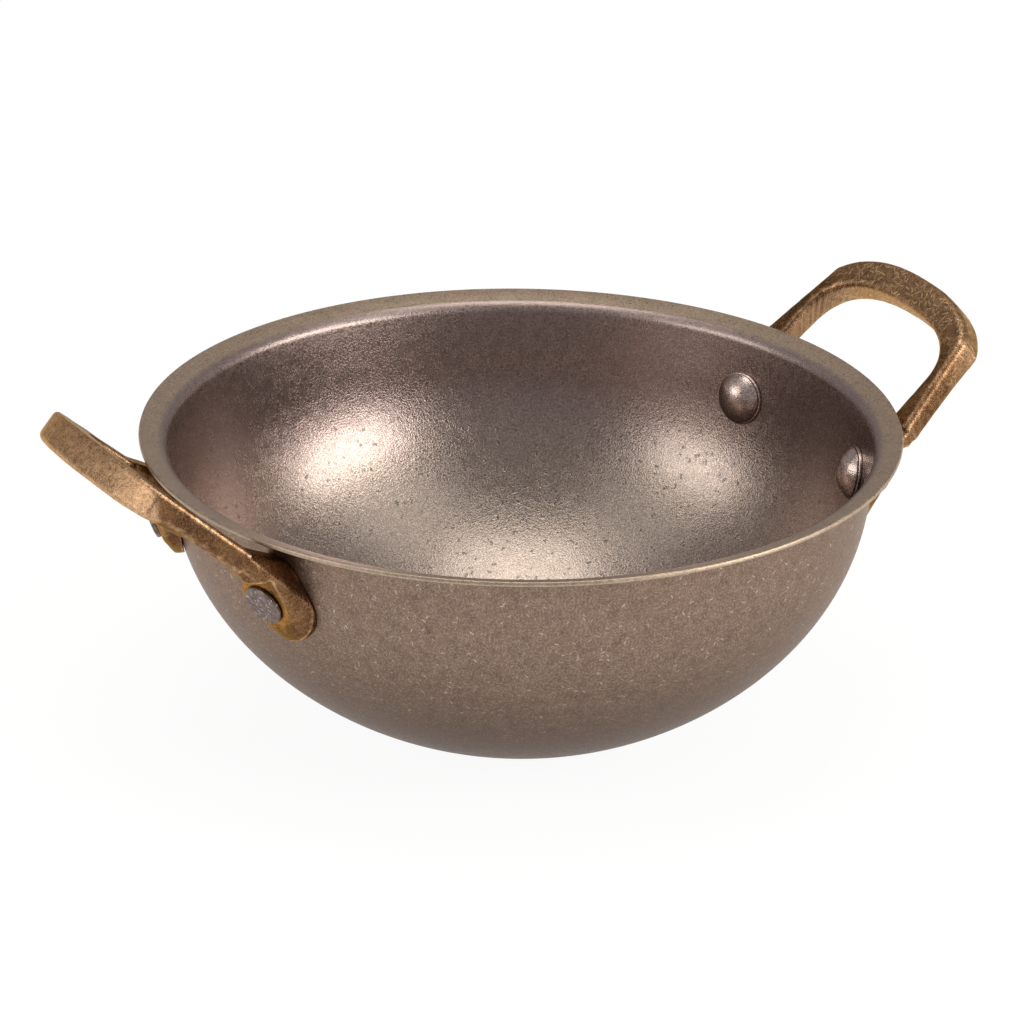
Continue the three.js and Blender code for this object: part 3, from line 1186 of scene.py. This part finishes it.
    def one(self, name: str, leg: Leg, side: Side) -> bpy.types.Object:
        """Makes one rivet.

        Args:
            name: name of the piece.
            leg: which leg it holds.
            side: which handle the leg is on.

        Returns:
            The finished rivet.
        """
        start = self.head_seat() - self.dome_edge
        end = self.pan.wall_radius + self.face_out + self.peen_radius
        piece = self.rod(name, self.shank_radius, start, end, self.at_rivet(leg))
        limit = self.over_face(leg, (self.pan.seat_gap + self.peen_height) / 2)
        combine(piece, [limit], "DIFFERENCE")
        heads = [self.dome(leg), self.peen(leg)]
        combine(piece, heads, "UNION")
        drop(limit, *heads)
        piece.data.transform(Matrix.Rotation(side.value, 4, "Z"))
        shade(piece, self.crease)
        return piece

    def build(self) -> dict[str, bpy.types.Object]:
        """Makes all four rivets and their washers.

        Returns:
            Each rivet and washer by the name of its solid.
        """
        material = self.finish.material(self.pan.wall_radius)
        made: dict[str, bpy.types.Object] = {}
        for side in Side:
            for leg in Leg:
                ahead = (leg is Leg.LEADING) == (side is Side.RIGHT)
                place = f"{side.name.lower()}_{'back' if ahead else 'front'}"
                made[f"rivet_{place}"] = self.one(f"rivet_{place}_steel", leg, side)
                made[f"washer_{place}"] = self.washer(f"washer_{place}_steel", leg, side)
        for piece in made.values():
            piece.data.materials.clear()
            piece.data.materials.append(material)
        return made


@dataclass
class Handles:
    """The two loop handles: a bent bar with two feet, cast in one and laid on the wall."""

    pan: Pan
    rivets: Rivets
    slope: float = math.radians(41)
    reach: float = 24.6
    crown_width: float = 7.2
    crown_thickness: float = 7.3
    leg_thickness: float = 5.0
    swell_start: float = -4.0
    leg_end: float = 5.4
    spread_end: float = 5.3
    leg_outer: float = 29.1
    leg_inner: float = 23.5
    corner_out: float = 16.5
    corner_across: float = 25.4
    corner_turn: float = math.radians(36)
    corner_pull: float = 6.5
    outer_crown: float = 13.5
    inner_out: float = 5.0
    inner_pull: float = 10.0
    inner_crown: float = 13.0
    bar_round: float = 1.5
    pad_radius: float = 7.2
    pad_shift: float = 2.0
    pad_sink: float = 1.7
    face_radius: float = 6.6
    face_round: float = 0.8
    leg_steps: int = 12
    crown_steps: int = 26
    round_steps: int = 5
    ring_steps: int = 56
    skin_grain: float = 0.25
    soften_passes: int = 7
    wear_passes: int = 4
    swell_lump: float = 0.1
    swell_grain: float = 0.11
    fine_lump: float = 0.05
    fine_grain: float = 0.4
    gap_share: float = 0.3
    gap_sink: float = 2.0
    wear: Wear = Wear(0.42, 0.6, 0.0, 11.0, 1.0)
    finish: CastBrass = field(default_factory=CastBrass)

    def outer_edge(self, out: float) -> float:
        """How far across a leg's outer edge is, this far out."""
        return self.leg_outer + (self.corner_across - self.leg_outer) * out / self.corner_out

    def thickness(self, out: float) -> float:
        """The bar's thickness, this far out."""
        share = ease(out, self.swell_start, self.reach + 2)
        return self.leg_thickness + (self.crown_thickness - self.leg_thickness) * share

    def half_edge(self, outer: bool) -> list[Vector]:
        """Half of the loop's outer or inner edge, from a leg's end to the crown.

        Args:
            outer: whether it is the outer edge.

        Returns:
            Points across and out.
        """
        if outer:
            start = Vector((self.outer_edge(-self.leg_end), -self.leg_end))
            corner = Vector((self.corner_across, self.corner_out))
            leave = Vector((-math.sin(self.corner_turn), math.cos(self.corner_turn))) * self.corner_pull
            reach = self.reach
            crown_pull = self.outer_crown
        else:
            start = Vector((self.leg_inner, -self.leg_end))
            corner = Vector((self.leg_inner, self.inner_out))
            leave = Vector((0, self.inner_pull))
            reach = self.reach - self.crown_width
            crown_pull = self.inner_crown
        leg = [start.lerp(corner, i / self.leg_steps) for i in range(self.leg_steps)]
        crown = bezier(corner, corner + leave, Vector((crown_pull, reach)), Vector((0, reach)), self.crown_steps)
        return leg + crown

    def whole_edge(self, outer: bool) -> list[Vector]:
        """The whole edge, from one leg's end over the crown to the other's."""
        half = self.half_edge(outer)
        return half + [Vector((-p.x, p.y)) for p in reversed(half[:-1])]

    def plane(self) -> Matrix:
        """Takes across, out and above to the right handle's place, in millimetres.

        Returns:
            The place of the handle's plane.
        """
        up = Vector((math.cos(self.slope), 0, math.sin(self.slope)))
        normal = Vector((-math.sin(self.slope), 0, math.cos(self.slope)))
        turn = Matrix((Vector((0, -1, 0)), up, normal)).transposed().to_4x4()
        return Matrix.Translation((self.pan.rim_radius, 0, self.pan.depth)) @ turn

    def bar(self) -> bpy.types.Object:
        """The bent bar, with its edges rounded.

        Returns:
            The bar.
        """
        rounds = [math.pi / 2 * i / self.round_steps for i in range(self.round_steps + 1)]
        sections: list[list[Vector]] = []
        edges = [self.whole_edge(True), self.whole_edge(False)]
        count = len(edges[0])
        for i in range(count):
            section: list[Vector] = []
            for edge, inward in zip(edges, (1, -1)):
                before = edge[max(i - 1, 0)]
                after = edge[min(i + 1, count - 1)]
                run = (after - before).normalized()
                normal = Vector((-run.y, run.x)) * inward
                depth = self.thickness(edge[i].y)
                upper = [(self.bar_round * (1 - math.sin(a)), -self.bar_round * (1 - math.cos(a))) for a in rounds]
                lower = [(inset, -depth - drop_by) for inset, drop_by in reversed(upper)]
                corner = [*upper, *lower]
                for inset, height in corner if inward > 0 else reversed(corner):
                    spot = edge[i] + normal * inset
                    section.append(Vector((spot.x, spot.y, height)))
            sections.append(section)
        size = len(sections[0])
        points = [self.plane() @ p for section in sections for p in section]
        faces: list[list[int]] = [list(range(size)), list(range((count - 1) * size, count * size))]
        for i in range(count - 1):
            for j in range(size):
                k = (j + 1) % size
                faces.append([i * size + j, i * size + k, (i + 1) * size + k, (i + 1) * size + j])
        return new_piece("handle_bar", points, faces)

    def leg_section(self, leg: Leg) -> list[Vector]:
        """Points round a leg where it starts to spread.

        Args:
            leg: which leg of the right handle it is.

        Returns:
            The points.
        """
        out = -self.spread_end
        points: list[Vector] = []
        for inset, bevel in ((self.bar_round, 0.0), (0.0, self.bar_round)):
            for across in (self.leg_inner + inset, self.outer_edge(out) - inset):
                points.append(Vector((-leg.value * across, out, -bevel)))
                points.append(Vector((-leg.value * across, out, bevel - self.leg_thickness)))
        return [self.plane() @ p for p in points]

    def ring(self, leg: Leg, radius: float, out: float, shift: float, sink: float, slope: float) -> list[Vector]:
        """A ring of points about a rivet's line.

        Args:
            leg: which leg the rivet holds.
            radius: radius of the ring.
            out: distance of its middle from the pan's axis.
            shift: its middle, outward of the rivet.
            sink: its middle, below the rivet.
            slope: how far it tips down.

        Returns:
            The points.
        """
        turn = Matrix.Rotation(leg.value * self.rivets.turn, 3, "Z")
        height = self.pan.depth - self.rivets.drop - sink
        points: list[Vector] = []
        for i in range(self.ring_steps):
            angle = math.tau * i / self.ring_steps
            up = radius * math.sin(angle)
            across = leg.value * (shift + radius * math.cos(angle))
            points.append(turn @ Vector((out + up * math.sin(slope), across, height + up * math.cos(slope))))
        return points

    def foot(self, leg: Leg) -> list[bpy.types.Object]:
        """One foot: the leg spread to a round pad, and the pad drawn in to the rivet's face.

        Args:
            leg: which leg of the right handle it is on.

        Returns:
            The two shells that make it.
        """
        wall = self.pan.wall_radius
        slope = self.rivets.face_slope
        face = wall + self.rivets.face_out
        bevel_in = self.face_round * math.cos(slope)
        bevel_down = self.face_round * math.sin(slope)
        base = self.ring(leg, self.pad_radius, wall - self.pad_radius, self.pad_shift, self.pad_sink, 0)
        base += self.ring(leg, self.pad_radius, wall + self.pan.seat_gap, self.pad_shift, self.pad_sink, 0)
        seat = self.ring(leg, self.face_radius, face - bevel_in, 0, -bevel_down, slope)
        seat += self.ring(leg, self.face_radius - self.face_round, face, 0, 0, slope)
        return [hull("foot_spread", base + self.leg_section(leg)), hull("foot_seat", base + seat)]

    def casting(self, side: Side) -> bpy.types.Object:
        """One handle as one skin, trimmed to the wall, spot-faced and drilled.

        Args:
            side: which end of the pan it is on.

        Returns:
            The casting, in its place.
        """
        shells = [self.bar()]
        cutters = [self.pan.room()]
        for leg in Leg:
            shells += self.foot(leg)
            cutters += [self.rivets.over_face(leg, 0.0), self.rivets.hole(leg)]
        for shell in shells:
            combine(shell, cutters, "DIFFERENCE")
        drop(*cutters)
        whole = gather(f"handle_{side.name.lower()}_brass", shells)
        fuse(whole, self.skin_grain, self.soften_passes)
        whole.data.transform(Matrix.Rotation(side.value, 4, "Z"))
        return whole

    def mark_edges(self, mesh: bpy.types.Mesh) -> None:
        """Writes how sharply the skin bulges or hollows at each corner, for the finish to wear.

        Args:
            mesh: the handle's mesh.
        """
        count = len(mesh.vertices)
        spots = corner_vectors(mesh, "co") / MM
        facing = corner_vectors(mesh, "normal")
        pairs = np.empty(len(mesh.edges) * 2, dtype=np.int32)
        mesh.edges.foreach_get("vertices", pairs)
        ends = np.concatenate([pairs.reshape(-1, 2), pairs.reshape(-1, 2)[:, ::-1]])
        near = np.bincount(ends[:, 0], minlength=count)

        def around(values: np.ndarray) -> np.ndarray:
            """Mean of a value over each corner's neighbours."""
            return np.bincount(ends[:, 0], weights=values[ends[:, 1]], minlength=count) / near

        mean = np.stack([around(spots[:, k]) for k in range(3)], axis=1)
        bulge = ((spots - mean) * facing).sum(axis=1) / self.skin_grain**2
        for _ in range(self.wear_passes):
            bulge = 0.5 * bulge + 0.5 * around(bulge)
        mesh.attributes.new("bulge", "FLOAT", "POINT").data.foreach_set("value", bulge.astype(np.float32))

    def dress(self, piece: bpy.types.Object, side: Side) -> None:
        """Gives a handle its uneven cast skin and its finish.

        Args:
            piece: the handle.
            side: which end of the pan it is on.
        """
        self.mark_edges(piece.data)
        spots = corner_vectors(piece.data, "co")
        points = [Vector(spot) / MM for spot in spots]
        swell = [self.swell_lump * noise.noise(p * self.swell_grain) for p in points]
        fine = [self.fine_lump * noise.noise(p * self.fine_grain) for p in points]
        lumps = [broad + small for broad, small in zip(swell, fine)]
        spots += corner_vectors(piece.data, "normal") * (np.array(lumps, dtype=np.float32)[:, None] * MM)
        piece.data.vertices.foreach_set("co", spots.ravel())
        piece.data.update()
        shade(piece)
        turn = Matrix.Rotation(side.value, 3, "Z")
        gap = turn @ (self.plane() @ Vector((0, self.reach * self.gap_share, -self.gap_sink)))
        faces = [turn @ (self.rivets.on_face(leg).translation / MM) for leg in Leg]
        piece.data.materials.clear()
        name = f"cast_brass_{side.name.lower()}"
        piece.data.materials.append(self.finish.material(name, gap, self.wear, faces))

    def build(self) -> dict[str, bpy.types.Object]:
        """Makes both handles, the left one filed to a longer flat on its legs.

        Returns:
            Each handle by the name of its solid.
        """
        filed = replace(
            self,
            reach=25.2,
            corner_out=20.9,
            corner_across=24.4,
            corner_turn=math.radians(55),
            corner_pull=4.0,
            swell_start=12.0,
            leg_end=2.6,
            spread_end=2.5,
            bar_round=1.1,
            soften_passes=8,
            # a full, sharp step to the worn colour at the crown's corner: partly wear, partly painted light on the
            # crown and painted shade on the legs' facets
            wear=Wear(0.3, 1.0, 9.2, 10.8, 0.25),
        )
        made: dict[str, bpy.types.Object] = {}
        for side, shape in ((Side.RIGHT, self), (Side.LEFT, filed)):
            piece = shape.casting(side)
            shape.dress(piece, side)
            made[f"handle_{side.name.lower()}"] = piece
        return made


# Studio


@dataclass(frozen=True)
class SoftBox:
    """A square soft lamp, placed by its direction from the camera's side and its height above the horizon."""

    name: str
    turn: float
    rise: float
    distance: float
    width: float
    height: float
    glow: float


@dataclass
class Studio:
    """Floor, lamps and camera."""

    pan: Pan
    camera_turn: float = -29.5
    camera_rise: float = 22.65
    camera_roll: float = 0.69
    distance: float = 1500.0
    focal: float = 7173.3
    frame_size: float = 1024.0
    rim_right: float = 9.0
    rim_above: float = 84.1
    sensor: float = 36.0
    floor_size: float = 40.0
    floor_gap: float = 0.02
    sky: Colour = (0.352, 0.337, 0.338)
    lamp_colour: Colour = (1.0, 0.98, 0.92)
    boxes: tuple[SoftBox, ...] = (
        SoftBox("lamp_right", 69.0, 22.5, 1.2, 0.92, 0.41, 6.4),
        SoftBox("lamp_low", 78.0, 6.0, 1.3, 1.2, 0.28, 1.0),
        SoftBox("lamp_left", -71.0, 26.0, 1.2, 0.72, 0.38, 3.5),
        SoftBox("lamp_over", 180.0, 87.0, 1.3, 0.85, 0.7, 3.0),
        SoftBox("fill_right", 69.0, 52.0, 1.3, 0.8, 0.55, 1.1),
        SoftBox("fill_left", -71.0, 54.0, 1.3, 0.8, 0.55, 0.55),
    )
    floor: PaleFloor = field(default_factory=PaleFloor)

    def away(self, turn: float, rise: float) -> Vector:
        """Direction from the pan.

        Args:
            turn: degrees from the camera's side.
            rise: degrees above the horizon.

        Returns:
            The direction.
        """
        a = math.radians(self.camera_turn + turn)
        e = math.radians(rise)
        return Vector((math.sin(a) * math.cos(e), -math.cos(a) * math.cos(e), math.sin(e)))

    def rim_middle(self) -> Vector:
        """Middle of the rim, in metres."""
        return Vector((0, 0, self.pan.depth * MM))

    def place_camera(self) -> None:
        """Sets the camera where the photograph was taken from."""
        back = self.away(0, self.camera_rise)
        right = Vector((0, 0, 1)).cross(back).normalized()
        up = back.cross(right)
        roll = math.radians(self.camera_roll)
        right, up = right * math.cos(roll) + up * math.sin(roll), up * math.cos(roll) - right * math.sin(roll)
        spot = self.rim_middle() + back * (self.distance * MM)
        aim = (back + up * (self.rim_above / self.focal) + right * (self.rim_right / self.focal)).normalized()
        right = (right - aim * right.dot(aim)).normalized()
        turn = Matrix((right, aim.cross(right), aim)).transposed()
        data = bpy.data.cameras.new("camera")
        data.sensor_width = self.sensor
        data.lens = self.focal / self.frame_size * self.sensor
        camera = bpy.data.objects.new("camera", data)
        camera.matrix_world = Matrix.Translation(spot) @ turn.to_4x4()
        bpy.context.scene.collection.objects.link(camera)
        bpy.context.scene.camera = camera

    def place_lamp(self, box: SoftBox) -> None:
        """Hangs one soft lamp, turned to the middle of the rim.

        Args:
            box: the lamp.
        """
        data = bpy.data.lights.new(box.name, "AREA")
        data.shape = "RECTANGLE"
        data.size = box.width
        data.size_y = box.height
        data.color = self.lamp_colour
        data.energy = box.glow * math.pi * box.width * box.height
        lamp = bpy.data.objects.new(box.name, data)
        back = self.away(box.turn, box.rise)
        turn = back.to_track_quat("Z", "Y").to_matrix().to_4x4()
        lamp.matrix_world = Matrix.Translation(self.rim_middle() + back * box.distance) @ turn
        bpy.context.scene.collection.objects.link(lamp)

    def place_floor(self) -> None:
        """Lays the floor just under the pan's base."""
        half = self.floor_size / 2 / MM
        ends = ((-half, -half), (half, -half), (half, half), (-half, half))
        corners = [Vector((x, y, -self.floor_gap)) for x, y in ends]
        piece = new_piece("floor", corners, [[0, 1, 2, 3]])
        piece.data.materials.append(self.floor.material())

    def build(self) -> None:
        """Sets up the whole studio."""
        scene = bpy.context.scene
        scene.view_settings.view_transform = "Standard"
        world = bpy.data.worlds.new("studio")
        world.use_nodes = True
        world.node_tree.nodes["Background"].inputs["Color"].default_value = (*self.sky, 1.0)
        scene.world = world
        for box in self.boxes:
            self.place_lamp(box)
        self.place_floor()
        self.place_camera()


def main() -> None:
    """Builds the wok and its studio."""
    logging.basicConfig(level=logging.INFO, format="%(name)s: %(message)s")
    pan = Pan()
    rivets = Rivets(pan)
    handles = Handles(pan, rivets)
    holes = rivets.holes()
    stand_for(pan.build(holes), "pan")
    drop(*holes)
    for node, piece in handles.build().items():
        stand_for(piece, node)
    for node, piece in rivets.build().items():
        stand_for(piece, node)
    Studio(pan).build()


if __name__ == "__main__":
    main()
